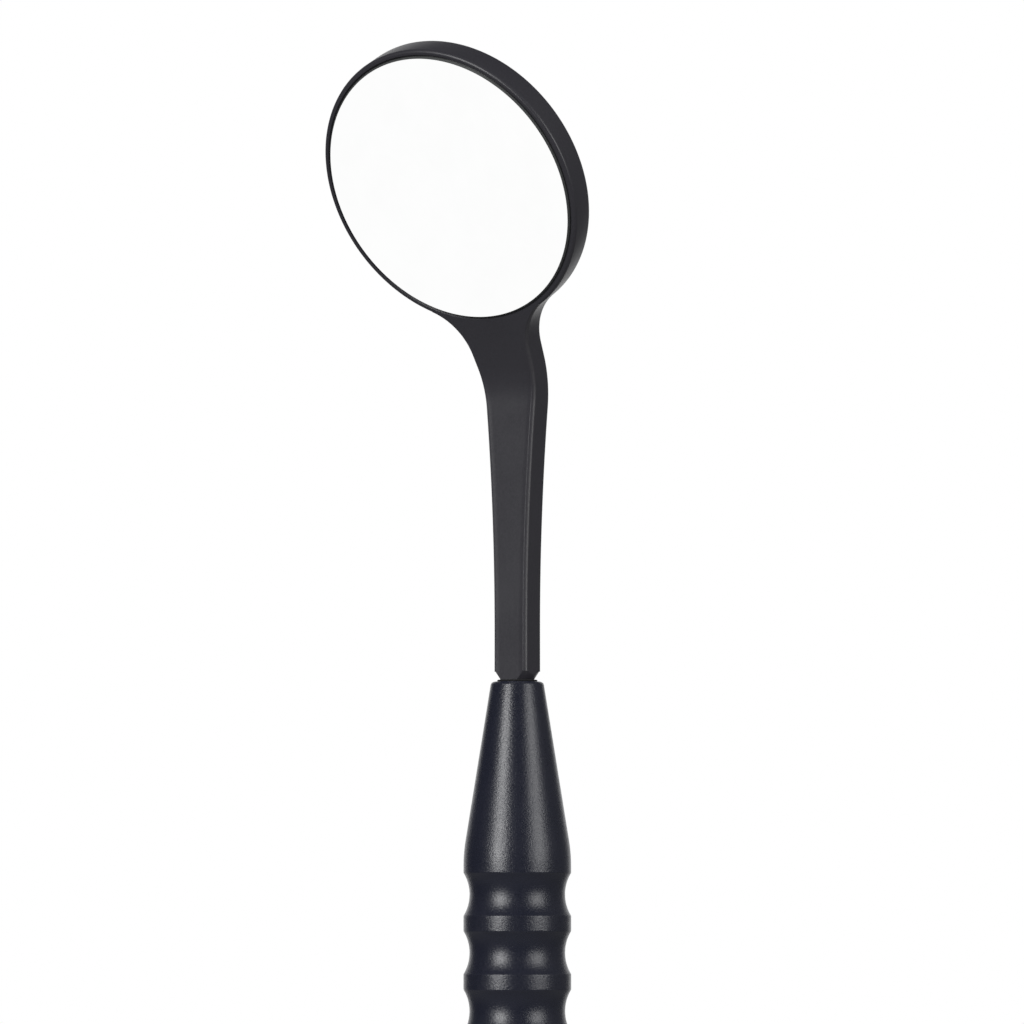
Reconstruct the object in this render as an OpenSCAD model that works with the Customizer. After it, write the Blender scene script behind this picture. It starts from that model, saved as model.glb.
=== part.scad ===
// Dental mouth mirror: a flat-stemmed mirror head that screws into a hollow ringed handle.
// Millimetres. The handle's axis is +Z, its tail face is z = 0, and the mirror faces -Y.

/* [Mirror head] */
// Outside diameter of the ring that holds the glass
ring_d = 21.8; // [18:0.1:26]
// Depth of the ring from its front face to its back face
ring_depth = 2.15; // [1.95:0.05:3]
// Wall of the ring round the glass pocket, at its rim
ring_wall = 0.4; // [0.3:0.05:0.8]
// Rounding of the ring's front corner
ring_front_round = 0.25; // [0.05:0.01:0.28]
// Rounding of the ring's back corner
ring_back_round = 0.3; // [0.05:0.05:0.5]
// Thickness of the glass
glass_t = 1.0; // [0.8:0.05:1.3]
// How far the glass stands in front of the ring
glass_proud = 0.1; // [0.05:0.01:0.3]
// Ground bevel round the front of the glass
glass_bevel = 0.13; // [0.05:0.01:0.3]
// Width of the sealant bead between the glass and the ring
seal_w = 0.1; // [0.06:0.01:0.25]
// How far the sealant bead lies behind the ring's front face
seal_sink = 0.06; // [0.02:0.01:0.2]
// Thickness of the adhesive pad behind the glass
bond_t = 0.1; // [0.05:0.01:0.2]

/* [Neck and stem] */
// Width of the flat stem at its foot
stem_w = 3.0; // [2.8:0.05:4]
// Thickness of the stem and neck
stem_t = 2.1; // [1.7:0.05:2.4]
// Chamfer along the stem's four long edges
stem_chamfer = 0.2; // [0.05:0.05:0.4]
// Height of the parallel part of the stem above the nose
stem_parallel = 3.8; // [1.5:0.1:8]
// Height of the bend's corner above the nose
bend_height = 22.4; // [18:0.1:40]
// Radius of the bend, at mid thickness
bend_radius = 7.0; // [4:0.5:10]
// Forward lean of the mirror plane, in degrees
head_lean = 28.5; // [15:0.5:45]
// Distance from the bend's corner to the centre of the mirror
neck_reach = 16.15; // [15.5:0.05:24]
// Slope of each side of the neck where it meets the bend, in degrees
neck_slope = 5.0; // [2:0.1:6]
// Fillet between each side of the neck and the ring
neck_fillet = 4.7; // [3:0.1:6]
// Diameter of the turned foot where it meets the seal
foot_d = 2.5; // [2.4:0.05:2.75]
// Height of the turned cone on the foot
foot_cone_h = 0.6; // [0.3:0.05:1.2]
// Spread of the turned cone on each side
foot_cone_spread = 0.38; // [0.2:0.02:0.6]

/* [Screw joint] */
// Major diameter of the thread
thread_d = 2.5; // [2:0.05:2.6]
// Length of the threaded part of the stud
thread_len = 6.5; // [5:0.1:9]
// Diameter of the undercut above the thread
relief_d = 1.9; // [1.5:0.05:1.95]
// Depth of the undercut below the nose
relief_depth = 1.0; // [0.5:0.1:1.5]
// Diameter of the stud's shank inside the stem
shank_d = 1.2; // [0.8:0.05:1.3]
// Length of the shank inside the stem
shank_len = 5.0; // [3:0.1:8]
// Chamfer at the tip of the stud
stud_tip = 0.3; // [0.1:0.05:0.4]
// Thickness of the captive seal under the foot
washer_t = 0.15; // [0.1:0.01:0.4]
// Outside diameter of the captive seal
washer_d = 3.0; // [2.7:0.05:3.2]
// Radial clearance of the stud in the threaded bush
thread_clear = 0.03; // [0.01:0.01:0.08]
// Radial clearance of the stud in the nose
nose_clear = 0.1; // [0.05:0.01:0.15]
// Radial clearance of the captive seal on the undercut
washer_clear = 0.05; // [0.02:0.01:0.1]
// Outside diameter of the threaded bush
bush_d = 3.8; // [3.4:0.1:4.2]
// Length of the threaded bush in front of its flange
bush_len = 6.0; // [4:0.1:8]
// Diameter of the bush's flange
bush_flange_d = 4.9; // [4.4:0.05:4.9]
// Thickness of the bush's flange
bush_flange_t = 1.0; // [0.5:0.1:2]
// Length of metal in front of the bush
nose_land = 2.5; // [2:0.1:3]

/* [Handle] */
// Length of the handle, from the tail face to the nose face
handle_len = 120; // [90:1:150]
// Diameter of the handle
handle_d = 8.0; // [7.6:0.1:12]
// Diameter of the nose
nose_d = 3.9; // [3.7:0.1:4.6]
// Length of the conical nose
nose_len = 12.75; // [9:0.25:13]
// Rounding of the nose's front corner
nose_round = 0.3; // [0.1:0.05:0.3]
// Distance from the nose face to the middle of the first grip groove
groove_start = 15.8; // [15:0.1:20]
// Distance from one grip groove to the next
groove_pitch = 4.32; // [4:0.02:6]
// Number of grip grooves
groove_count = 8; // [3:1:14]
// Depth of the grip grooves
groove_depth = 0.45; // [0.2:0.05:0.5]
// Radius of the grip grooves' section
groove_r = 3.05; // [2:0.05:3.5]
// Rounding of the lands between grooves
land_round = 0.22; // [0.1:0.02:0.3]
// Bore of the hollow handle
bore_d = 5.0; // [4.95:0.05:5.8]

/* [Tail] */
// Thickness of the tail plug's head
plug_head_t = 2.5; // [1.5:0.1:5]
// Length of the plug inside the handle
plug_len = 6.0; // [4:0.5:12]
// Rounding of the plug's outer corner
plug_round = 0.8; // [0.3:0.1:1.2]
// Chamfer on both sides of the seam between plug and handle
seam_chamfer = 0.12; // [0.05:0.01:0.3]
// Section diameter of the plug's O-ring
oring_section = 0.8; // [0.6:0.05:1]
// Distance from the plug's head to the middle of the O-ring
oring_offset = 3.0; // [1:0.1:3.4]

/* [Fits] */
// Gap left between pieces that are pressed or glued together
fit_gap = 0.01; // [0.01:0.01:0.02]

/* [Hidden] */

ROUND = 96;       // facets of a full circle
CUT = 1;          // how far a cutting shape runs past what it cuts

// Radii
ring_r = ring_d / 2;
pocket_r = ring_r - ring_wall;
glass_r = pocket_r - seal_w;
handle_r = handle_d / 2;
nose_r = nose_d / 2;
bore_r = bore_d / 2;
thread_r = thread_d / 2;

// Heights along the handle's axis
nose_z = handle_len;
foot_z = nose_z + washer_t;
thread_top_z = nose_z - relief_depth;
thread_end_z = thread_top_z - thread_len;
bush_top_z = nose_z - nose_land;
bush_shoulder_z = bush_top_z - bush_len;
body_end_z = plug_head_t;

// Depths across the head, measured from the middle of the stem's thickness
ring_front = stem_t / 2;
ring_back = ring_front - ring_depth;
glass_front = ring_front + glass_proud;
glass_back = glass_front - glass_t;
pocket_floor = glass_back - bond_t;

// The bend, and the length along the stem's middle from the bend's corner (negative below it)
bend_corner_z = nose_z + bend_height;
bend_tangent = bend_radius * tan(head_lean / 2);
bend_arc = bend_radius * head_lean * PI / 180;
bend_start = -bend_tangent;
bend_end = bend_start + bend_arc;
ring_centre = bend_end + neck_reach - bend_tangent;
foot_start = foot_z - bend_corner_z;
flare_start = stem_parallel - bend_height;
flare_r = (bend_start - flare_start) / sin(neck_slope);
bend_half_w = stem_w / 2 + flare_r * (1 - cos(neck_slope));

// Centre of the fillet circle, which touches the neck's sloping side and the ring
side_along = [cos(neck_slope), sin(neck_slope)];
side_out = [-sin(neck_slope), cos(neck_slope)];
fillet_base = [bend_start - ring_centre, bend_half_w] + neck_fillet * side_out;
fillet_dot = fillet_base * side_along;
fillet_span = ring_r + neck_fillet;
fillet_run = -fillet_dot - sqrt(pow(fillet_dot, 2) - fillet_base * fillet_base + pow(fillet_span, 2));
fillet_centre = fillet_base + fillet_run * side_along + [ring_centre, 0];
fillet_start = (fillet_centre - neck_fillet * side_out)[0];
fillet_end = ring_centre + (fillet_centre[0] - ring_centre) * ring_r / fillet_span;

// Half width of the stem and neck at a length s along their middle
function half_width(s) =
    s <= flare_start ? stem_w / 2
    : s <= bend_start ? stem_w / 2 + flare_r - sqrt(pow(flare_r, 2) - pow(s - flare_start, 2))
    : s <= fillet_start ? bend_half_w + (s - bend_start) * tan(neck_slope)
    : fillet_centre[1] - sqrt(pow(neck_fillet, 2) - pow(s - fillet_centre[0], 2));

// Angle of the stem's middle from the vertical, and its place as [y, z]
function lean_at(s) = max(0, min(head_lean, (s - bend_start) / bend_radius * 180 / PI));
function middle_at(s) =
    s <= bend_start ? [0, bend_corner_z + s]
    : let (
        a = lean_at(s),
        past = max(0, s - bend_end)
    )
    [
        -bend_radius * (1 - cos(a)) - past * sin(a),
        bend_corner_z + bend_start + bend_radius * sin(a) + past * cos(a)
    ];

// Eight corners of the chamfered section at s, anticlockwise from the front left
function section_at(s) = let (
        w = half_width(s),
        t = stem_t / 2,
        c = stem_chamfer,
        a = lean_at(s),
        m = middle_at(s),
        corners = [
            [-w + c, t], [w - c, t], [w, t - c], [w, c - t],
            [w - c, -t], [c - w, -t], [-w, c - t], [-w, t - c]
        ]
    )
    [for (q = corners) [q[0], m[0] - q[1] * cos(a), m[1] - q[1] * sin(a)]];

function steps(from, to, count) = [for (i = [1 : count]) from + (to - from) * i / count];

stations = concat(
    [foot_start],
    steps(foot_start, flare_start, 2),
    steps(flare_start, bend_start, 12),
    steps(bend_start, bend_end, 10),
    steps(bend_end, fillet_end, 16)
);

// Places its children in the head's plane: local +Z is the way the mirror faces
module in_head_plane() {
    centre = middle_at(ring_centre);
    translate([0, centre[0], centre[1]])
        rotate([90 + head_lean, 0, 0])
            children();
}

// A solid of revolution round Z from [radius, height] points
module turned(points) {
    rotate_extrude($fn = ROUND)
        polygon(points);
}

module stem_blade() {
    sides = 8;
    last = len(stations) - 1;
    points = [for (s = stations) each section_at(s)];
    walls = [
        for (i = [0 : last - 1], j = [0 : sides - 1])
            let (
                a = i * sides + j,
                b = i * sides + (j + 1) % sides
            )
            each [[b, a, b + sides], [a, a + sides, b + sides]]
    ];
    foot = [for (j = [1 : sides - 2]) [0, j, j + 1]];
    head = [for (j = [1 : sides - 2]) [last * sides, last * sides + j + 1, last * sides + j]];
    polyhedron(points = points, faces = concat(walls, foot, head), convexity = 6);
}

module ring_disc() {
    f = ring_front_round;
    b = ring_back_round;
    rotate_extrude($fn = ROUND) {
        translate([0, ring_back])
            square([ring_r - b, ring_depth]);
        translate([0, ring_back + b])
            square([ring_r, ring_depth - b - f]);
        translate([0, ring_back + b])
            square([ring_r - f, ring_depth - b]);
        translate([ring_r - f, ring_front - f])
            circle(r = f, $fn = ROUND);
        translate([ring_r - b, ring_back + b])
            circle(r = b, $fn = ROUND);
    }
}

module head_frame() {
    far = stem_w;
    color([0.13, 0.13, 0.14])
        difference() {
            union() {
                stem_blade();
                in_head_plane() ring_disc();
            }
            in_head_plane()
                translate([0, 0, pocket_floor])
                    cylinder(r = pocket_r, h = glass_t + bond_t + CUT, $fn = ROUND);
            turned([
                [foot_d / 2, foot_z],
                [foot_d / 2 + foot_cone_spread, foot_z + foot_cone_h],
                [far, foot_z + foot_cone_h],
                [far, foot_z - CUT],
                [foot_d / 2, foot_z - CUT]
            ]);
            translate([0, 0, foot_z - CUT])
                cylinder(d = shank_d + 2 * fit_gap, h = shank_len + fit_gap + CUT, $fn = ROUND);
        }
}

module mirror_glass() {
    color([0.93, 0.94, 0.95])
        in_head_plane()
            turned([
                [0, glass_back],
                [glass_r - glass_bevel, glass_back],
                [glass_r, glass_back + glass_bevel],
                [glass_r, glass_front - glass_bevel],
                [glass_r - glass_bevel, glass_front],
                [0, glass_front]
            ]);
}

module glass_bond() {
    color([0.75, 0.75, 0.7])
        in_head_plane()
            translate([0, 0, pocket_floor + fit_gap])
                cylinder(r = glass_r - glass_bevel, h = bond_t - 2 * fit_gap, $fn = ROUND);
}

module edge_seal() {
    top = ring_front - seal_sink;
    color([0.05, 0.05, 0.05])
        in_head_plane()
            turned([
                [glass_r + fit_gap, pocket_floor + fit_gap],
                [pocket_r - fit_gap, pocket_floor + fit_gap],
                [pocket_r - fit_gap, top],
                [glass_r + fit_gap, top]
            ]);
}

module threaded_stud() {
    color([0.72, 0.72, 0.74])
        turned([
            [0, thread_end_z],
            [thread_r - stud_tip, thread_end_z],
            [thread_r, thread_end_z + stud_tip],
            [thread_r, thread_top_z - stud_tip],
            [relief_d / 2, thread_top_z],
            [relief_d / 2, foot_z - fit_gap],
            [shank_d / 2, foot_z - fit_gap],
            [shank_d / 2, foot_z + shank_len],
            [0, foot_z + shank_len]
        ]);
}

module seal_washer() {
    low = nose_z + fit_gap;
    high = foot_z - fit_gap;
    inner = relief_d / 2 + washer_clear;
    color([0.08, 0.08, 0.08])
        turned([
            [inner, low],
            [washer_d / 2, low],
            [washer_d / 2, high],
            [inner, high]
        ]);
}

module thread_bush() {
    inner = thread_r + thread_clear;
    outer = bush_d / 2;
    flange = bush_flange_d / 2;
    shoulder = bush_shoulder_z - fit_gap;
    color([0.7, 0.7, 0.72])
        turned([
            [inner, shoulder - bush_flange_t],
            [flange, shoulder - bush_flange_t],
            [flange, shoulder],
            [outer, shoulder],
            [outer, bush_top_z - fit_gap],
            [inner, bush_top_z - fit_gap]
        ]);
}

// Half section of the solid handle before its grooves and bores are cut
module handle_blank() {
    polygon([
        [0, body_end_z],
        [handle_r - seam_chamfer, body_end_z],
        [handle_r, body_end_z + seam_chamfer],
        [handle_r, nose_z - nose_len],
        [nose_r, nose_z],
        [0, nose_z]
    ]);
}

// Section of what is cut away to round the nose's front corner
module nose_corner() {
    cone = atan((handle_r - nose_r) / nose_len);
    reach = nose_round * tan((90 - cone) / 2);
    centre = [nose_r - reach, nose_z - nose_round];
    difference() {
        polygon([
            [centre[0], nose_z + CUT],
            [centre[0], nose_z],
            centre + nose_round * [cos(cone), sin(cone)],
            centre + (nose_round + CUT) * [cos(cone), sin(cone)]
        ]);
        translate(centre) circle(r = nose_round, $fn = ROUND);
    }
}

// Section of one grip groove at height z, with the rounding of the lands beside it
module groove(z) {
    axis_r = handle_r - groove_depth + groove_r;
    round_r = handle_r - land_round;
    round_dz = sqrt(pow(groove_r + land_round, 2) - pow(axis_r - round_r, 2));
    share = groove_r / (groove_r + land_round);
    translate([axis_r, z]) circle(r = groove_r, $fn = ROUND);
    for (side = [-1, 1])
        difference() {
            polygon([
                [handle_r, z + side * round_dz],
                [handle_r + CUT, z + side * round_dz],
                [axis_r, z],
                [axis_r + (round_r - axis_r) * share, z + side * round_dz * share]
            ]);
            translate([round_r, z + side * round_dz]) circle(r = land_round, $fn = ROUND);
        }
}

module handle_body() {
    color([0.14, 0.15, 0.18])
        rotate_extrude($fn = ROUND)
            difference() {
                handle_blank();
                nose_corner();
                for (i = [0 : groove_count - 1])
                    groove(nose_z - groove_start - i * groove_pitch);
                translate([0, body_end_z - CUT])
                    square([bore_r, bush_shoulder_z - body_end_z + CUT]);
                translate([0, bush_shoulder_z - CUT])
                    square([bush_d / 2 + fit_gap, bush_len + CUT]);
                translate([0, bush_top_z - CUT])
                    square([thread_r + nose_clear, nose_land + 2 * CUT]);
            }
}

module tail_plug() {
    body = bore_r - fit_gap;
    groove_root = bore_r - oring_section;
    groove_half = oring_section / 2 + fit_gap;
    oring_z = plug_head_t + oring_offset;
    color([0.14, 0.15, 0.18])
        rotate_extrude($fn = ROUND)
            difference() {
                union() {
                    square([handle_r - plug_round, plug_head_t]);
                    translate([0, plug_round])
                        square([handle_r, plug_head_t - plug_round]);
                    translate([handle_r - plug_round, plug_round])
                        circle(r = plug_round, $fn = ROUND);
                    square([body, plug_head_t + plug_len]);
                }
                translate([groove_root, oring_z - groove_half])
                    square([CUT, 2 * groove_half]);
                polygon([
                    [handle_r - seam_chamfer, plug_head_t],
                    [handle_r + CUT, plug_head_t],
                    [handle_r + CUT, plug_head_t - seam_chamfer],
                    [handle_r, plug_head_t - seam_chamfer]
                ]);
            }
}

module tail_oring() {
    section = oring_section / 2 - fit_gap;
    color([0.06, 0.06, 0.06])
        rotate_extrude($fn = ROUND)
            translate([bore_r - oring_section / 2, plug_head_t + oring_offset])
                circle(r = section, $fn = ROUND);
}

handle_body();
thread_bush();
tail_plug();
tail_oring();
seal_washer();
threaded_stud();
head_frame();
glass_bond();
mirror_glass();
edge_seal();
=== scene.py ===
import math

import bmesh
import bpy
from mathutils import Matrix, Vector


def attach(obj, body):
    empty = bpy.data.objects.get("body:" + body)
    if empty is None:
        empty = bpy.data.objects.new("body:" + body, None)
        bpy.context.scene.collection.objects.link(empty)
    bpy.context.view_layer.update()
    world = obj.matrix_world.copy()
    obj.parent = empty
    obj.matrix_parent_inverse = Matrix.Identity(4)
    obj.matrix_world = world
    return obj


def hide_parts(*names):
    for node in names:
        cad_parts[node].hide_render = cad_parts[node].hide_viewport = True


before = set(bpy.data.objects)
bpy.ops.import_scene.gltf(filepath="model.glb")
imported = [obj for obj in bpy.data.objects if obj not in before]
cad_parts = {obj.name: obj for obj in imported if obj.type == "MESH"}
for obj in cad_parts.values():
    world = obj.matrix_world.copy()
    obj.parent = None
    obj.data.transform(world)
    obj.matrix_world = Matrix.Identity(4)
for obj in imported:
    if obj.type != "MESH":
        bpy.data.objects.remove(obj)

MM = 0.001
scene = bpy.context.scene
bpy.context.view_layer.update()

# ---------------------------------------------------------------- camera
CAMERA_AZIMUTH = 36.1       # degrees from the mirror's front, towards +X
CAMERA_ELEVATION = -4.0
CAMERA_DISTANCE = 411 * MM
CAMERA_TARGET = Vector((-0.319, -0.233, 132.68)) * MM
CAMERA_LENS = 193.5
CAMERA_SENSOR = 36

_az, _el = math.radians(CAMERA_AZIMUTH), math.radians(CAMERA_ELEVATION)
camera_back = Vector((math.sin(_az) * math.cos(_el), -math.cos(_az) * math.cos(_el), math.sin(_el)))
camera_right = Vector((math.cos(_az), math.sin(_az), 0))
camera = bpy.data.objects.new("camera", bpy.data.cameras.new("camera"))
scene.collection.objects.link(camera)
camera.data.lens = CAMERA_LENS
camera.data.sensor_width = CAMERA_SENSOR
camera.data.clip_start = 0.01
camera.data.clip_end = 50
camera.location = CAMERA_TARGET + camera_back * CAMERA_DISTANCE
camera.rotation_mode = "QUATERNION"
camera.rotation_quaternion = (-camera_back).to_track_quat("-Z", "Y")
scene.camera = camera
scene.view_settings.view_transform = "Standard"

# ---------------------------------------------------------------- sizes, as in the part's source, in millimetres
RING_R = 10.9
RING_DEPTH = 2.15
RING_WALL = 0.4
RING_FRONT_ROUND = 0.25
RING_BACK_ROUND = 0.3
GLASS_T = 1.0
GLASS_PROUD = 0.1
GLASS_BEVEL = 0.13
SEAL_W = 0.1
SEAL_SINK = 0.06
BOND_T = 0.1

STEM_W = 3.0
STEM_T = 2.1
STEM_CHAMFER = 0.2
STEM_PARALLEL = 3.8
BEND_HEIGHT = 22.4
BEND_RADIUS = 7.0
HEAD_LEAN = 28.5
NECK_REACH = 16.15
NECK_SLOPE = 5.0
NECK_FILLET = 4.7
FOOT_R = 1.25
FOOT_CONE_H = 0.6
FOOT_CONE_SPREAD = 0.38

STUD_R = 1.25
THREAD_R = 1.24
THREAD_ROOT_R = 0.97
THREAD_PITCH = 0.45
THREAD_LEN = 6.5
RELIEF_R = 0.95
RELIEF_DEPTH = 1.0
STUD_TIP = 0.3
WASHER_T = 0.15
WASHER_R = 1.5
WASHER_CLEAR = 0.05
NOSE_CLEAR = 0.1
BUSH_R = 1.9
BUSH_LEN = 6.0
NOSE_LAND = 2.5

HANDLE_LEN = 120.0
HANDLE_R = 4.0
NOSE_R = 1.95
NOSE_LEN = 12.75
NOSE_ROUND = 0.3
GROOVE_START = 15.8
GROOVE_PITCH = 4.32
GROOVE_COUNT = 8
GROOVE_DEPTH = 0.45
GROOVE_R = 3.05
LAND_ROUND = 0.22
BORE_R = 2.5

PLUG_HEAD_T = 2.5
PLUG_LEN = 6.0
PLUG_ROUND = 0.8
SEAM_CHAMFER = 0.12
ORING_SECTION = 0.8
ORING_OFFSET = 3.0
FIT_GAP = 0.01

# Looks only
EDGE_FACE_ROUND = 0.05      # how far the coating rounds the stem's chamfers
EDGE_SIDE_ROUND = 0.28
RIM_WIDTH = 0.42            # the coating draws up to a rim along the edges of the flat faces
RIM_HEIGHT = 0.022
POCKET_CHAMFER = 0.04
FOOT_SPARE = 0.2            # length of stem that turning the foot takes off
RIM_FADE = 3                # length over which the rims run out towards the ring
CONE_BLEND = 0.9            # half the length over which the nose cone runs out into the barrel
HOLE_CHAMFER = 0.08
PLUG_END_CHAMFER = 0.3
CENTRE_DEPTH = 0.15         # the lathe centre's mark in the tail face
CENTRE_FLOOR_R = 0.35
CENTRE_R = 0.75
EDGE_WEAR_SHEEN_SIDE_BAND = 0.09       # where the stem's edges are painted lighter, partly worn-thin coating and partly painted edge highlight: how close to the side faces, and how far behind the front or back face
EDGE_WEAR_SHEEN_FACE_BAND = (0.02, 0.30)   # and how far behind the front or back face
THREAD_ROWS = 16            # rows of mesh to one turn of the thread

# Places that follow from these
FOOT_Z = HANDLE_LEN + WASHER_T
BEND_Z = HANDLE_LEN + BEND_HEIGHT
POCKET_R = RING_R - RING_WALL
GLASS_R = POCKET_R - SEAL_W
RING_FRONT = STEM_T / 2
RING_BACK = RING_FRONT - RING_DEPTH
GLASS_FRONT = RING_FRONT + GLASS_PROUD
GLASS_BACK = GLASS_FRONT - GLASS_T
POCKET_FLOOR = GLASS_BACK - BOND_T
BUSH_TOP_Z = HANDLE_LEN - NOSE_LAND
BUSH_SHOULDER_Z = BUSH_TOP_Z - BUSH_LEN

lean = math.radians(HEAD_LEAN)
slope = math.radians(NECK_SLOPE)
bend_tangent = BEND_RADIUS * math.tan(lean / 2)
bend_start = -bend_tangent
bend_end = bend_start + BEND_RADIUS * lean
ring_centre = bend_end + NECK_REACH - bend_tangent
foot_start = FOOT_Z - BEND_Z
flare_start = STEM_PARALLEL - BEND_HEIGHT
flare_r = (bend_start - flare_start) / math.sin(slope)
bend_half_w = STEM_W / 2 + flare_r * (1 - math.cos(slope))

side_along = Vector((math.cos(slope), math.sin(slope)))
side_out = Vector((-math.sin(slope), math.cos(slope)))
fillet_base = Vector((bend_start - ring_centre, bend_half_w)) + NECK_FILLET * side_out
fillet_dot = fillet_base.dot(side_along)
fillet_span = RING_R + NECK_FILLET
fillet_run = -fillet_dot - math.sqrt(fillet_dot ** 2 - fillet_base.dot(fillet_base) + fillet_span ** 2)
fillet_centre = fillet_base + fillet_run * side_along + Vector((ring_centre, 0))
fillet_start = (fillet_centre - NECK_FILLET * side_out)[0]
fillet_end = ring_centre + (fillet_centre[0] - ring_centre) * RING_R / fillet_span


def half_width(s):
    """Half width of the stem and neck at a length s along their middle."""
    if s <= flare_start:
        return STEM_W / 2
    if s <= bend_start:
        return STEM_W / 2 + flare_r - math.sqrt(flare_r ** 2 - (s - flare_start) ** 2)
    if s <= fillet_start:
        return bend_half_w + (s - bend_start) * math.tan(slope)
    return fillet_centre[1] - math.sqrt(NECK_FILLET ** 2 - (s - fillet_centre[0]) ** 2)


def lean_at(s):
    """How far the stem has bent at a length s, in radians."""
    return max(0.0, min(lean, (s - bend_start) / BEND_RADIUS))


def middle_at(s):
    """The middle of the stem and neck at a length s."""
    if s <= bend_start:
        return Vector((0, 0, BEND_Z + s))
    a = lean_at(s)
    past = max(0.0, s - bend_end)
    return Vector((
        0,
        -BEND_RADIUS * (1 - math.cos(a)) - past * math.sin(a),
        BEND_Z + bend_start + BEND_RADIUS * math.sin(a) + past * math.cos(a),
    ))


# From millimetres in the head's plane (+Z is the way the mirror faces) to metres in the frame
HEAD_PLANE = Matrix.Translation(middle_at(ring_centre) * MM) @ Matrix.Rotation(math.pi / 2 + lean, 4, "X")

# ---------------------------------------------------------------- mesh tools
SEGMENTS = 256
SHARP = math.radians(28)


def arc(cx, cz, r, start, end, steps):
    """Points of an arc in the half section, by angle from +r in degrees."""
    return [
        (cx + r * math.cos(math.radians(start + (end - start) * i / steps)),
         cz + r * math.sin(math.radians(start + (end - start) * i / steps)))
        for i in range(steps + 1)
    ]


def tidy(outline):
    """The outline without points that fall on one another."""
    kept = []
    for p in outline:
        if not kept or math.dist(p, kept[-1]) > 1e-5:
            kept.append(p)
    if math.dist(kept[0], kept[-1]) < 1e-5:
        kept.pop()
    return kept


def smooth_but_sharp(bm):
    """Shades the mesh smooth, all but its sharp edges."""
    for f in bm.faces:
        f.smooth = True
    for e in bm.edges:
        e.smooth = e.calc_face_angle(math.pi) < SHARP


def to_object(name, bm, place=None):
    """Makes an object of the mesh, smooth but for its sharp edges."""
    bmesh.ops.recalc_face_normals(bm, faces=bm.faces[:])
    smooth_but_sharp(bm)
    mesh = bpy.data.meshes.new(name)
    bm.to_mesh(mesh)
    bm.free()
    o = bpy.data.objects.new(name, mesh)
    if place is not None:
        o.matrix_world = place
    scene.collection.objects.link(o)
    return o


def even_normals(o):
    """Keeps large flat faces flat beside small rounds."""
    m = o.modifiers.new("normals", "WEIGHTED_NORMAL")
    m.mode = "FACE_AREA"
    m.weight = 60
    m.keep_sharp = True
    return o


def lathe(name, outline, place=None, segments=SEGMENTS, radius_at=None):
    """Turns a closed outline of (radius, height) points, in millimetres, round Z.

    radius_at(radius, height, angle) can vary a radius.
    """
    outline = tidy(outline)
    bm = bmesh.new()
    rings = []
    for r, z in outline:
        if r < 1e-6:
            rings.append([bm.verts.new((0, 0, z * MM))])
            continue
        ring = []
        for i in range(segments):
            a = 2 * math.pi * i / segments
            q = radius_at(r, z, a) if radius_at else r
            ring.append(bm.verts.new((q * math.cos(a) * MM, q * math.sin(a) * MM, z * MM)))
        rings.append(ring)
    for i, low in enumerate(rings):
        high = rings[(i + 1) % len(rings)]
        if len(low) == 1 and len(high) == 1:
            continue
        for j in range(segments):
            k = (j + 1) % segments
            if len(low) == 1:
                bm.faces.new((low[0], high[k], high[j]))
            elif len(high) == 1:
                bm.faces.new((low[j], low[k], high[0]))
            else:
                bm.faces.new((low[j], low[k], high[k], high[j]))
    return to_object(name, bm, place)


def rounded(points, radii, steps):
    """A closed polygon with its corners rounded."""
    out = []
    n = len(points)
    for i in range(n):
        p, a, b = Vector(points[i]), Vector(points[i - 1]), Vector(points[(i + 1) % n])
        u, v = (a - p).normalized(), (b - p).normalized()
        half = u.angle(v) / 2
        r = radii[i]
        centre = p + (u + v).normalized() * (r / math.sin(half))
        start = p + u * (r / math.tan(half)) - centre
        turn = math.pi - 2 * half
        way = 1 if start.x * v.y - start.y * v.x > 0 else -1
        for k in range(steps + 1):
            t = way * turn * k / steps
            out.append((
                centre.x + start.x * math.cos(t) - start.y * math.sin(t),
                centre.y + start.x * math.sin(t) + start.y * math.cos(t),
            ))
    return out


def boolean(o, tool, operation):
    """Joins or cuts o with tool, applies it and removes the tool."""
    m = o.modifiers.new("cut", "BOOLEAN")
    m.operation = operation
    m.solver = "EXACT"
    m.object = tool
    bpy.context.view_layer.update()
    made = bpy.data.meshes.new_from_object(o.evaluated_get(bpy.context.evaluated_depsgraph_get()))
    o.modifiers.clear()
    o.data = made
    bpy.data.objects.remove(tool)


def resharpen(o, merge=4e-7):
    """Cleans up after booleans: merges double points and marks the sharp edges again."""
    bm = bmesh.new()
    bm.from_mesh(o.data)
    bmesh.ops.remove_doubles(bm, verts=bm.verts[:], dist=merge)
    bmesh.ops.dissolve_degenerate(bm, edges=bm.edges[:], dist=merge)
    smooth_but_sharp(bm)
    bm.to_mesh(o.data)
    bm.free()


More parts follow.
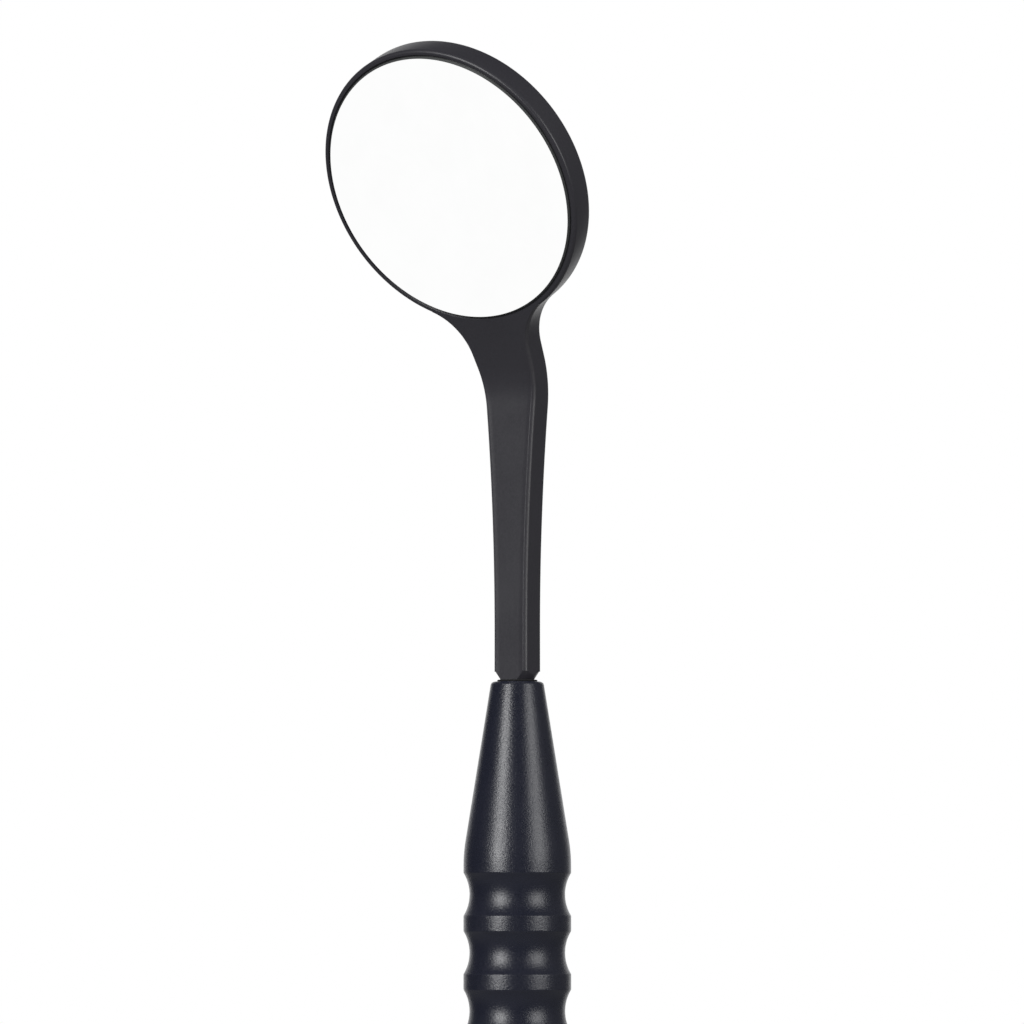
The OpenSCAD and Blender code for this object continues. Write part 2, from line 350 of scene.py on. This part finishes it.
# ---------------------------------------------------------------- node tools
class Nodes:
    """A material or world under construction."""

    def __init__(self, owner):
        owner.use_nodes = True
        self.tree = owner.node_tree
        self.tree.nodes.clear()

    def add(self, kind, inputs=None, **settings):
        n = self.tree.nodes.new("ShaderNode" + kind)
        for k, v in settings.items():
            setattr(n, k, v)
        for k, v in (inputs or {}).items():
            if isinstance(v, bpy.types.NodeSocket):
                self.tree.links.new(v, n.inputs[k])
            else:
                n.inputs[k].default_value = v
        return n

    def noise(self, point, size_mm, detail=2.0, rough=0.5):
        """Noise with lumps of about size_mm, as a number round 0.5."""
        inputs = {"Vector": point, "Scale": 1 / (size_mm * MM), "Detail": detail, "Roughness": rough}
        return self.add("TexNoise", inputs).outputs["Fac"]

    def turned(self, point, size_mm):
        """Noise that stays the same all the way round Z, as a lathe's marks do."""
        parts = self.add("SeparateXYZ", {0: point}).outputs
        squares = [self.math("MULTIPLY", parts[i], parts[i]) for i in (0, 1)]
        radius = self.math("SQRT", self.math("ADD", *squares))
        along = self.add("CombineXYZ", {0: radius, 1: parts[2]}).outputs[0]
        return self.noise(along, size_mm, 3.0, 0.7)

    def span(self, value, low, high, to_low, to_high, smooth=False):
        """Maps low..high to to_low..to_high and stops at both ends."""
        n = self.add("MapRange", {
            "Value": value, "From Min": low, "From Max": high, "To Min": to_low, "To Max": to_high,
        })
        if smooth:
            n.interpolation_type = "SMOOTHSTEP"
        return n.outputs["Result"]

    def math(self, operation, a, b=0.0):
        return self.add("Math", {0: a, 1: b}, operation=operation).outputs[0]

    def mix(self, share, a, b):
        return self.add("Mix", {"Factor": share, 6: a, 7: b}, data_type="RGBA").outputs[2]

    def bump(self, height, distance_mm, strength=1.0, normal=None):
        inputs = {"Height": height, "Distance": distance_mm * MM, "Strength": strength}
        if normal is not None:
            inputs["Normal"] = normal
        return self.add("Bump", inputs).outputs["Normal"]

    def finish(self, **inputs):
        shader = self.add("BsdfPrincipled", {k.replace("_", " "): v for k, v in inputs.items()})
        out = self.add("OutputMaterial")
        self.tree.links.new(shader.outputs[0], out.inputs["Surface"])


def new_material(name):
    """A material, its nodes, and the point in the piece's own coordinates."""
    m = bpy.data.materials.new(name)
    n = Nodes(m)
    return m, n, n.add("TexCoord").outputs["Object"]


def rgb(r, g, b):
    return (r, g, b, 1)


# ---------------------------------------------------------------- materials
def anodised_material():
    """Bead-blasted black anodised aluminium, faintly blue."""
    m, n, point = new_material("handle_anodised")
    grain = n.noise(point, 0.15, 3.0, 0.6)
    pits = n.noise(point, 0.08, 2.0, 0.5)
    patches = n.noise(point, 3.5, 3.0, 0.55)
    wear = n.add("Attribute", attribute_name="wear").outputs["Fac"]
    worn = n.math("MULTIPLY", wear, n.span(n.noise(point, 0.6, 3.0, 0.6), 0.35, 0.7, 0.1, 0.8))
    shade = n.mix(n.span(grain, 0.3, 0.7, 0, 1), rgb(0.0100, 0.0118, 0.0240), rgb(0.0145, 0.0165, 0.0325))
    shade = n.mix(n.span(patches, 0.35, 0.7, 0, 0.35), shade, rgb(0.0165, 0.0185, 0.0355))
    shade = n.mix(worn, shade, rgb(0.045, 0.046, 0.055))
    rough = n.math("ADD", n.span(grain, 0.3, 0.7, 0.26, 0.33), n.span(patches, 0.35, 0.65, -0.02, 0.02))
    normal = n.bump(pits, 0.008, 0.8, n.bump(grain, 0.017, 1.0))
    n.finish(Base_Color=shade, Roughness=rough, IOR=1.68, Normal=normal)
    return m


def turned_anodised_material():
    """Turned black anodised aluminium: fine rings round the axis under the same dye."""
    m, n, point = new_material("plug_anodised")
    rings = n.turned(point, 0.09)
    grain = n.noise(point, 0.15, 3.0, 0.6)
    shade = n.mix(n.span(grain, 0.3, 0.7, 0, 1), rgb(0.010, 0.0105, 0.02), rgb(0.017, 0.0175, 0.03))
    rough = n.span(rings, 0.3, 0.7, 0.28, 0.42)
    n.finish(Base_Color=shade, Roughness=rough, IOR=1.68, Normal=n.bump(rings, 0.006, 0.7))
    return m


def coated_material():
    """Satin black coating over stamped steel, painted lighter along the stem's edges: partly coating worn thin,
    partly a painted edge highlight.
    """
    m, n, point = new_material("frame_black")
    speckle = n.noise(point, 0.11, 3.0, 0.65)
    orange = n.noise(point, 0.5, 2.0, 0.5)
    patches = n.noise(point, 4.0, 3.0, 0.55)
    shade = n.mix(n.span(speckle, 0.3, 0.7, 0, 1), rgb(0.0300, 0.0290, 0.0365), rgb(0.0410, 0.0395, 0.0490))
    shade = n.mix(n.span(patches, 0.35, 0.7, 0, 0.3), shade, rgb(0.043, 0.0415, 0.051))
    # painted edge highlight together with worn-thin coating: the stem's edges get a lighter colour
    edge_wear_sheen = n.add("Attribute", attribute_name="edge_wear_sheen").outputs["Fac"]
    thin = n.math("MULTIPLY", edge_wear_sheen, n.span(n.noise(point, 0.3, 3.0, 0.6), 0.3, 0.65, 0.45, 1.0))
    shade = n.mix(thin, shade, rgb(0.055, 0.053, 0.060))
    rough = n.math("ADD", n.span(speckle, 0.3, 0.7, 0.35, 0.41), n.span(patches, 0.35, 0.65, -0.02, 0.02))
    normal = n.bump(speckle, 0.0025, 0.6, n.bump(orange, 0.003, 0.5))
    n.finish(Base_Color=shade, Roughness=rough, IOR=1.6, Normal=normal)
    return m


def steel_material():
    """Turned stainless steel."""
    m, n, point = new_material("steel_bright")
    lines = n.turned(point, 0.03)
    stain = n.noise(point, 0.8, 3.0, 0.6)
    shade = n.mix(n.span(stain, 0.35, 0.7, 0, 1), rgb(0.62, 0.62, 0.63), rgb(0.50, 0.49, 0.48))
    rough = n.span(lines, 0.3, 0.7, 0.2, 0.36)
    n.finish(Base_Color=shade, Metallic=1.0, Roughness=rough, Normal=n.bump(lines, 0.003, 0.6))
    return m


def rubber_material():
    """Matt silicone."""
    m, n, point = new_material("rubber_black")
    grain = n.noise(point, 0.05, 3.0, 0.6)
    shade = n.mix(n.span(grain, 0.3, 0.7, 0, 1), rgb(0.012, 0.012, 0.013), rgb(0.022, 0.022, 0.023))
    rough = n.span(grain, 0.3, 0.7, 0.6, 0.8)
    n.finish(Base_Color=shade, Roughness=rough, IOR=1.43, Normal=n.bump(grain, 0.004, 0.6))
    return m


def sealant_material():
    """Smooth black sealant, slightly wavy."""
    m, n, point = new_material("sealant_black")
    waves = n.noise(point, 0.6, 2.0, 0.5)
    grain = n.noise(point, 0.05, 2.0, 0.5)
    shade = n.mix(n.span(waves, 0.3, 0.7, 0, 1), rgb(0.015, 0.015, 0.017), rgb(0.024, 0.024, 0.027))
    rough = n.span(grain, 0.3, 0.7, 0.28, 0.4)
    n.finish(Base_Color=shade, Roughness=rough, IOR=1.43, Normal=n.bump(waves, 0.02, 0.5))
    return m


def adhesive_material():
    """Cured adhesive film with thin places."""
    m, n, point = new_material("adhesive")
    voids = n.noise(point, 0.7, 3.0, 0.6)
    shade = n.mix(n.span(voids, 0.35, 0.7, 0, 1), rgb(0.66, 0.65, 0.58), rgb(0.50, 0.49, 0.44))
    n.finish(Base_Color=shade, Roughness=n.span(voids, 0.3, 0.7, 0.3, 0.5), Normal=n.bump(voids, 0.01, 0.5))
    return m


def mirror_material():
    """Front-surface mirror coating: a metal film with the faintest haze."""
    m, n, point = new_material("mirror_front")
    haze = n.noise(point, 2.5, 4.0, 0.6)
    dust = n.noise(point, 0.06, 2.0, 0.5)
    shade = n.mix(n.span(haze, 0.35, 0.7, 0, 1), rgb(0.985, 0.987, 0.985), rgb(0.972, 0.974, 0.972))
    rough = n.math("ADD", n.span(haze, 0.35, 0.7, 0.0004, 0.002), n.span(dust, 0.6, 0.8, 0, 0.001))
    n.finish(Base_Color=shade, Metallic=1.0, Roughness=rough)
    return m


def ground_glass_material():
    """The ground bevel and side of the glass disc."""
    m, n, point = new_material("ground_glass")
    grit = n.noise(point, 0.04, 3.0, 0.6)
    shade = n.mix(n.span(grit, 0.3, 0.7, 0, 1), rgb(0.050, 0.053, 0.053), rgb(0.085, 0.089, 0.089))
    rough = n.span(grit, 0.3, 0.7, 0.35, 0.5)
    n.finish(Base_Color=shade, Roughness=rough, IOR=1.52, Normal=n.bump(grit, 0.004, 0.6))
    return m


anodised = anodised_material()
turned_anodised = turned_anodised_material()
coated = coated_material()
steel = steel_material()
rubber = rubber_material()
sealant = sealant_material()
adhesive = adhesive_material()
mirror_coat = mirror_material()
ground_glass = ground_glass_material()


def dress(o, material, slot, body, *nodes):
    """Gives a piece its material and the body it rides on, and hides the CAD nodes it stands for; slot is not used.
    """
    if not o.data.materials:
        o.data.materials.append(material)
    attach(o, body)
    if nodes:
        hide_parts(*nodes)
    return o


def repaint(node, material):
    """Gives a CAD node, which stays as it is, its material."""
    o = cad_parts[node]
    o.data.materials.clear()
    o.data.materials.append(material)


# ---------------------------------------------------------------- handle
def groove_outline(z):
    """One grip groove and the rounded lands beside it, from below."""
    axis_r = HANDLE_R - GROOVE_DEPTH + GROOVE_R
    round_r = HANDLE_R - LAND_ROUND
    dz = math.sqrt((GROOVE_R + LAND_ROUND) ** 2 - (axis_r - round_r) ** 2)
    tip = math.degrees(math.atan2(dz, axis_r - round_r))
    return (
        arc(round_r, z - dz, LAND_ROUND, 0, tip, 12)
        + arc(axis_r, z, GROOVE_R, 180 + tip, 180 - tip, 24)
        + arc(round_r, z + dz, LAND_ROUND, -tip, 0, 12)
    )


def handle_outline():
    """The hollow handle, from the seam at the tail up the outside and down the hole."""
    cone = math.atan((HANDLE_R - NOSE_R) / NOSE_LEN)
    reach = NOSE_ROUND * math.tan((math.pi / 2 - cone) / 2)
    out = [
        (BORE_R, PLUG_HEAD_T),
        (HANDLE_R - SEAM_CHAMFER, PLUG_HEAD_T),
        (HANDLE_R, PLUG_HEAD_T + SEAM_CHAMFER),
        (HANDLE_R, PLUG_HEAD_T + 1),
    ]
    grip_start = HANDLE_LEN - GROOVE_START - (GROOVE_COUNT - 1) * GROOVE_PITCH
    out += [(HANDLE_R, z) for z in range(10, int(grip_start) - 3, 10)]
    for i in reversed(range(GROOVE_COUNT)):
        out += groove_outline(HANDLE_LEN - GROOVE_START - i * GROOVE_PITCH)
    # the nose cone runs out into the barrel over a short round
    corner_z = HANDLE_LEN - NOSE_LEN
    blend_r = CONE_BLEND / math.tan(cone / 2)
    out += arc(HANDLE_R - blend_r, corner_z - CONE_BLEND, blend_r, 0, math.degrees(cone), 8)
    out += [
        (HANDLE_R - math.tan(cone) * d, corner_z + d) for d in (3, 6, 9)
    ]
    out += arc(NOSE_R - reach, HANDLE_LEN - NOSE_ROUND, NOSE_ROUND, math.degrees(cone), 90, 8)
    hole = STUD_R + NOSE_CLEAR
    out += [
        (hole + HOLE_CHAMFER, HANDLE_LEN),
        (hole, HANDLE_LEN - HOLE_CHAMFER),
        (hole, BUSH_TOP_Z),
        (BUSH_R + FIT_GAP, BUSH_TOP_Z),
        (BUSH_R + FIT_GAP, BUSH_SHOULDER_Z),
        (BORE_R, BUSH_SHOULDER_Z),
    ]
    return out


handle = lathe("handle_shell", handle_outline())
wear = handle.data.attributes.new("wear", "FLOAT", "POINT")
wear_values = []
for v in handle.data.vertices:
    r = math.hypot(v.co.x, v.co.y) / MM
    z = v.co.z / MM
    on_land = max(0.0, 1 - abs(r - (HANDLE_R - 0.02)) / 0.05) if z < HANDLE_LEN - GROOVE_START + 2 else 0.0
    at_nose = max(0.0, 1 - abs(z - (HANDLE_LEN - 0.12)) / 0.2) if r > 1.6 else 0.0
    at_seam = max(0.0, 1 - abs(z - PLUG_HEAD_T - 0.1) / 0.15)
    wear_values.append(0.25 * on_land + 0.5 * at_nose + 0.5 * at_seam)
wear.data.foreach_set("value", wear_values)
dress(even_normals(handle), anodised, "handle_anodised", "handle", "handle_body")


def plug_outline():
    """The tail plug with its O-ring groove."""
    body = BORE_R - FIT_GAP
    root = BORE_R - ORING_SECTION
    half = ORING_SECTION / 2 + FIT_GAP
    oring_z = PLUG_HEAD_T + ORING_OFFSET
    return (
        [(0, CENTRE_DEPTH), (CENTRE_FLOOR_R, CENTRE_DEPTH), (CENTRE_R, 0), (1.5, 0), (2.4, 0)]
        + arc(HANDLE_R - PLUG_ROUND, PLUG_ROUND, PLUG_ROUND, -90, 0, 12)
        + [
            (HANDLE_R, PLUG_HEAD_T - SEAM_CHAMFER),
            (HANDLE_R - SEAM_CHAMFER, PLUG_HEAD_T),
            (body, PLUG_HEAD_T),
            (body, oring_z - half),
            (root, oring_z - half),
            (root, oring_z + half),
            (body, oring_z + half),
            (body, PLUG_HEAD_T + PLUG_LEN - PLUG_END_CHAMFER),
            (body - PLUG_END_CHAMFER, PLUG_HEAD_T + PLUG_LEN),
            (0, PLUG_HEAD_T + PLUG_LEN),
        ]
    )


plug = lathe("tail_cap", plug_outline())
dress(even_normals(plug), turned_anodised, "plug_anodised", "handle", "tail_plug")

# ---------------------------------------------------------------- stud and seal
thread_top = HANDLE_LEN - RELIEF_DEPTH
thread_end = thread_top - THREAD_LEN


def thread_radius(r, z, a):
    """The real right-hand thread on the stud's threaded length."""
    if not thread_end < z < thread_top or r < THREAD_R - 1e-6:
        return r
    phase = ((z - thread_end) / THREAD_PITCH - a / (2 * math.pi)) % 1
    height = max(0.0, min(1.0, (abs(phase - 0.5) - 0.0625) / 0.3125))
    limit = min(THREAD_R, THREAD_R - STUD_TIP + (z - thread_end), RELIEF_R + (thread_top - z) * 1.2)
    return min(limit, THREAD_R - (THREAD_R - THREAD_ROOT_R) * height)


def stud_outline():
    """The stud, with enough rows along it to carry the thread."""
    rows = int(THREAD_LEN / THREAD_PITCH * THREAD_ROWS)
    return (
        [(0, thread_end), (0.5, thread_end), (THREAD_R - STUD_TIP, thread_end)]
        + [(THREAD_R, thread_end + THREAD_LEN * (i + 0.5) / rows) for i in range(rows)]
        + [(RELIEF_R, thread_top + 0.02), (RELIEF_R, FOOT_Z - FIT_GAP), (0, FOOT_Z - FIT_GAP)]
    )


stud = lathe("stud_thread", stud_outline(), segments=96, radius_at=thread_radius)
dress(stud, steel, "steel_bright", "head", "threaded_stud")

washer_low, washer_high = HANDLE_LEN + FIT_GAP, FOOT_Z - FIT_GAP
washer_mid = (washer_low + washer_high) / 2
washer_half = (washer_high - washer_low) / 2
washer = lathe(
    "foot_seal",
    [(RELIEF_R + WASHER_CLEAR, washer_low), (WASHER_R - 0.05, washer_low)]
    + arc(WASHER_R - washer_half, washer_mid, washer_half, -90, 90, 8)
    + [(RELIEF_R + WASHER_CLEAR, washer_high)],
    segments=128,
)
dress(even_normals(washer), rubber, "rubber_black", "stem_seal", "seal_washer")

# ---------------------------------------------------------------- head frame
def spread(start, end, count):
    """Even steps from start to end, without start itself."""
    return [start + (end - start) * i / count for i in range(1, count + 1)]


def with_rims(section, half_face, t, s):
    """Dishes the two flat faces of the section at s inside their rims, less and less towards the ring."""
    height = RIM_HEIGHT * max(0.0, min(1.0, (ring_centre - RING_R - s) / RIM_FADE))
    shares = [i / 4 for i in range(4)]
    inner = [(half_face - EDGE_FACE_ROUND - RIM_WIDTH * (1 - u), t - height * (1 - u ** 2)) for u in shares]
    front = [(-x, d) for x, d in reversed(inner)] + inner
    back = [(-x, -d) for x, d in front]
    # the section runs from the front left corner round to the left side
    per_corner = len(section) // 8
    return section[:per_corner] + front + section[per_corner:5 * per_corner] + back + section[5 * per_corner:]


def blade():
    """The flat stem, its bend and the neck, as one closed skin."""
    stations = (
        [foot_start - FOOT_SPARE, foot_start + 0.4]
        + spread(foot_start + 0.4, flare_start, 3)
        + spread(flare_start, bend_start, 30)
        + spread(bend_start, bend_end, 24)
        + spread(bend_end, fillet_start, 3)
        + spread(fillet_start, fillet_end, 28)
    )
    t, c = STEM_T / 2, STEM_CHAMFER
    bm = bmesh.new()
    rings = []
    for s in stations:
        w, a, m = half_width(s), lean_at(s), middle_at(s)
        corners = [
            (c - w, t), (w - c, t), (w, t - c), (w, c - t),
            (w - c, -t), (c - w, -t), (-w, c - t), (-w, t - c),
        ]
        radii = [EDGE_FACE_ROUND, EDGE_FACE_ROUND, EDGE_SIDE_ROUND, EDGE_SIDE_ROUND] * 2
        front = Vector((0, -math.cos(a), -math.sin(a)))
        ring = []
        for x, d in with_rims(rounded(corners, radii, 4), w - c, t, s):
            ring.append(bm.verts.new((Vector((x, 0, 0)) + m + front * d) * MM))
        rings.append(ring)
    n = len(rings[0])
    for low, high in zip(rings, rings[1:]):
        for j in range(n):
            k = (j + 1) % n
            bm.faces.new((low[j], low[k], high[k], high[j]))
    bm.faces.new(rings[0])
    bm.faces.new(rings[-1])
    return to_object("head_blade", bm)


def disc():
    """The ring before its pocket is cut."""
    f, b = RING_FRONT_ROUND, RING_BACK_ROUND
    outline = (
        [(0, RING_BACK), (5, RING_BACK)]
        + arc(RING_R - b, RING_BACK + b, b, -90, 0, 8)
        + arc(RING_R - f, RING_FRONT - f, f, 0, 90, 8)
        + [(5, RING_FRONT), (0, RING_FRONT)]
    )
    o = lathe("ring", outline)
    o.data.transform(HEAD_PLANE)
    return o


def pocket():
    """What the pocket for the glass cuts away."""
    o = lathe("pocket", [
        (0, POCKET_FLOOR), (POCKET_R, POCKET_FLOOR),
        (POCKET_R, RING_FRONT - POCKET_CHAMFER), (POCKET_R + POCKET_CHAMFER, RING_FRONT),
        (POCKET_R + POCKET_CHAMFER, RING_FRONT + 1), (0, RING_FRONT + 1),
    ])
    o.data.transform(HEAD_PLANE)
    return o


def foot_cone():
    """What turning the stem's foot cuts away."""
    far = STEM_W
    return lathe("foot_cut", [
        (0, FOOT_Z), (FOOT_R, FOOT_Z),
        (FOOT_R + FOOT_CONE_SPREAD, FOOT_Z + FOOT_CONE_H), (far, FOOT_Z + FOOT_CONE_H),
        (far, FOOT_Z - 1), (0, FOOT_Z - 1),
    ], segments=128)


head = blade()
boolean(head, disc(), "UNION")
boolean(head, pocket(), "DIFFERENCE")
boolean(head, foot_cone(), "DIFFERENCE")
resharpen(head)
head.name = head.data.name = "head_shell"


def along_and_across(point):
    """A point of the stem as length along its middle, distance across it and depth in front of it, in millimetres."""
    x, y, z = point
    if z <= BEND_Z + bend_start:
        return z - BEND_Z, x, -y
    hub_y, hub_z = -BEND_RADIUS, BEND_Z + bend_start
    a = math.atan2(z - hub_z, y - hub_y)
    if a <= lean:
        return bend_start + BEND_RADIUS * a, x, BEND_RADIUS - math.hypot(y - hub_y, z - hub_z)
    end = middle_at(bend_end)
    dy, dz = y - end.y, z - end.z
    return bend_end + dz * math.cos(lean) - dy * math.sin(lean), x, -dy * math.cos(lean) - dz * math.sin(lean)


# Marks the stem's edges that are painted lighter, for worn-thin coating and a painted edge highlight
edge_wear_sheen_values = []
for v in head.data.vertices:
    s, x, d = along_and_across(v.co / MM)
    beside = half_width(min(s, fillet_end)) - abs(x)
    behind = STEM_T / 2 - abs(d)
    on_worn_sheen_corner = s < fillet_end and beside < EDGE_WEAR_SHEEN_SIDE_BAND and EDGE_WEAR_SHEEN_FACE_BAND[0] < behind < EDGE_WEAR_SHEEN_FACE_BAND[1]
    edge_wear_sheen_values.append(1.0 if on_worn_sheen_corner else 0.0)
head.data.attributes.new("edge_wear_sheen", "FLOAT", "POINT").data.foreach_set("value", edge_wear_sheen_values)
dress(even_normals(head), coated, "frame_black", "head", "head_frame")

# ---------------------------------------------------------------- mirror
glass = lathe(
    "mirror_disc",
    [
        (0, GLASS_BACK), (GLASS_R - GLASS_BEVEL, GLASS_BACK), (GLASS_R, GLASS_BACK + GLASS_BEVEL),
        (GLASS_R, GLASS_FRONT - GLASS_BEVEL), (GLASS_R - GLASS_BEVEL, GLASS_FRONT), (0, GLASS_FRONT),
    ],
    HEAD_PLANE,
)
glass.data.materials.append(mirror_coat)
glass.data.materials.append(ground_glass)
for f in glass.data.polygons:
    on_front = f.center.z > (GLASS_FRONT - 0.01) * MM
    f.material_index = 0 if on_front else 1
dress(even_normals(glass), mirror_coat, "mirror_front", "head", "mirror_glass")

seal_top = RING_FRONT - SEAL_SINK
seal_mid = (GLASS_R + POCKET_R) / 2
seal = lathe(
    "glass_seal",
    [
        (GLASS_R + FIT_GAP, POCKET_FLOOR + FIT_GAP), (POCKET_R - FIT_GAP, POCKET_FLOOR + FIT_GAP),
        (POCKET_R - FIT_GAP, seal_top), (seal_mid + 0.015, seal_top - 0.02),
        (seal_mid - 0.015, seal_top - 0.02), (GLASS_R + FIT_GAP, seal_top),
    ],
    HEAD_PLANE,
)
dress(even_normals(seal), sealant, "sealant_black", "head", "edge_seal")

repaint("glass_bond", adhesive)
repaint("thread_bush", steel)
repaint("tail_oring", rubber)

# ---------------------------------------------------------------- floor, world and lights
FLOOR_HALF = 0.9
BACKDROP_GLOSS = 1.0        # how bright the white backdrop is in a satin surface
BACKDROP_FULL = 16          # degrees from straight behind the object
BACKDROP_END = 46
DARK_GLOSS = 0.045          # and the dark studio beside and in front of it,
RIGHT_GLOSS = 0.12          # which is less dark on the right
FLOOR_GLOSS = 0.20          # and over the floor below the object
SKY = 0.6                   # soft light from above
FLOOR_BOUNCE = 0.12         # the floor's colour to rough surfaces
FLOOR_GLOW = 0.32           # what makes the floor look pale to the camera
LIGHT_DISTANCE = 0.60       # both lamps, in metres
LIGHT_HEIGHT = 0.26
LIGHT_TALL = 0.34


def satin_surroundings(n, way):
    """How bright the studio is to satin surfaces, in a direction from the object."""
    ahead = n.add("VectorMath", {0: way, 1: tuple(-camera_back)}, operation="DOT_PRODUCT").outputs["Value"]
    end, full = math.cos(math.radians(BACKDROP_END)), math.cos(math.radians(BACKDROP_FULL))
    aside = n.add("VectorMath", {0: way, 1: tuple(camera_right)}, operation="DOT_PRODUCT").outputs["Value"]
    dark = n.span(aside, 0.3, 0.9, DARK_GLOSS, RIGHT_GLOSS, smooth=True)
    height = n.add("SeparateXYZ", {0: way}).outputs[2]
    dark = n.math("MAXIMUM", dark, n.span(height, -0.2, -0.7, DARK_GLOSS, FLOOR_GLOSS, smooth=True))
    return n.math("MAXIMUM", dark, n.span(ahead, end, full, 0, BACKDROP_GLOSS, smooth=True))


def floor_material():
    """Pale to the camera, with the object's shadow; satin surfaces see the studio in it."""
    m, n, point = new_material("floor")
    path = n.add("LightPath").outputs
    tone = n.mix(n.span(n.noise(point, 60, 2.0, 0.5), 0.3, 0.7, 0, 1), rgb(0.66, 0.66, 0.66), rgb(0.68, 0.68, 0.68))
    lit = n.add("BsdfDiffuse", {"Color": tone})
    glow = n.add("Emission", {"Color": rgb(1, 1, 1), "Strength": FLOOR_GLOW})
    seen = n.add("AddShader", {0: lit.outputs[0], 1: glow.outputs[0]})
    plain = n.add("BsdfDiffuse", {"Color": rgb(FLOOR_BOUNCE, FLOOR_BOUNCE, FLOOR_BOUNCE)})
    by_camera = n.add("MixShader", {0: path["Is Camera Ray"], 1: plain.outputs[0], 2: seen.outputs[0]})
    mirrored = n.math("MAXIMUM", path["Is Singular Ray"], path["Is Transmission Ray"])
    from_head = n.add("VectorMath", {0: point, 1: tuple(CAMERA_TARGET)}, operation="SUBTRACT").outputs[0]
    way = n.add("VectorMath", {0: from_head}, operation="NORMALIZE").outputs[0]
    strength = n.add("Mix", {0: mirrored, 2: satin_surroundings(n, way), 3: 1.0}).outputs[0]
    white = n.add("Emission", {"Color": rgb(1, 1, 1), "Strength": strength})
    reflected = n.math("MAXIMUM", path["Is Glossy Ray"], path["Is Transmission Ray"])
    surface = n.add("MixShader", {0: reflected, 1: by_camera.outputs[0], 2: white.outputs[0]})
    out = n.add("OutputMaterial")
    n.tree.links.new(surface.outputs[0], out.inputs["Surface"])
    return m


def studio_world():
    """White to the camera and the mirror, soft light from above, and the studio to satin surfaces."""
    world = bpy.data.worlds.new("studio")
    n = Nodes(world)
    way = n.add("TexCoord").outputs["Generated"]
    above = n.span(n.add("SeparateXYZ", {0: way}).outputs[2], -0.1, 0.25, 0, SKY, smooth=True)
    path = n.add("LightPath").outputs
    seen = n.math("MAXIMUM", path["Is Camera Ray"], path["Is Transmission Ray"])
    seen = n.math("MAXIMUM", seen, path["Is Singular Ray"])
    unseen = n.add("Mix", {0: path["Is Glossy Ray"], 2: above, 3: satin_surroundings(n, way)}).outputs[0]
    strength = n.add("Mix", {0: seen, 2: unseen, 3: 1.0}).outputs[0]
    background = n.add("Background", {"Color": rgb(1, 1, 1), "Strength": strength})
    out = n.add("OutputWorld")
    n.tree.links.new(background.outputs[0], out.inputs["Surface"])
    return world


bm = bmesh.new()
corners = [bm.verts.new((x * FLOOR_HALF, y * FLOOR_HALF, 0)) for x, y in ((-1, -1), (1, -1), (1, 1), (-1, 1))]
bm.faces.new(corners)
floor = to_object("floor", bm)
floor.data.materials.append(floor_material())
scene.world = studio_world()


def softbox(name, azimuth, width, radiance):
    """A soft area light at a bearing from the object, facing its upright axis."""
    light = bpy.data.lights.new(name, "AREA")
    light.shape = "RECTANGLE"
    light.size, light.size_y = width, LIGHT_TALL
    light.energy = radiance * math.pi * width * LIGHT_TALL
    o = bpy.data.objects.new(name, light)
    a = math.radians(azimuth)
    o.location = (LIGHT_DISTANCE * math.sin(a), -LIGHT_DISTANCE * math.cos(a), LIGHT_HEIGHT)
    aim = Vector((0, 0, LIGHT_HEIGHT)) - o.location
    o.rotation_mode = "QUATERNION"
    o.rotation_quaternion = aim.to_track_quat("-Z", "Y")
    o.visible_camera = False
    scene.collection.objects.link(o)


softbox("light_left", azimuth=-5.7, width=0.25, radiance=6.9)
softbox("light_right", azimuth=85.0, width=0.33, radiance=3.05)
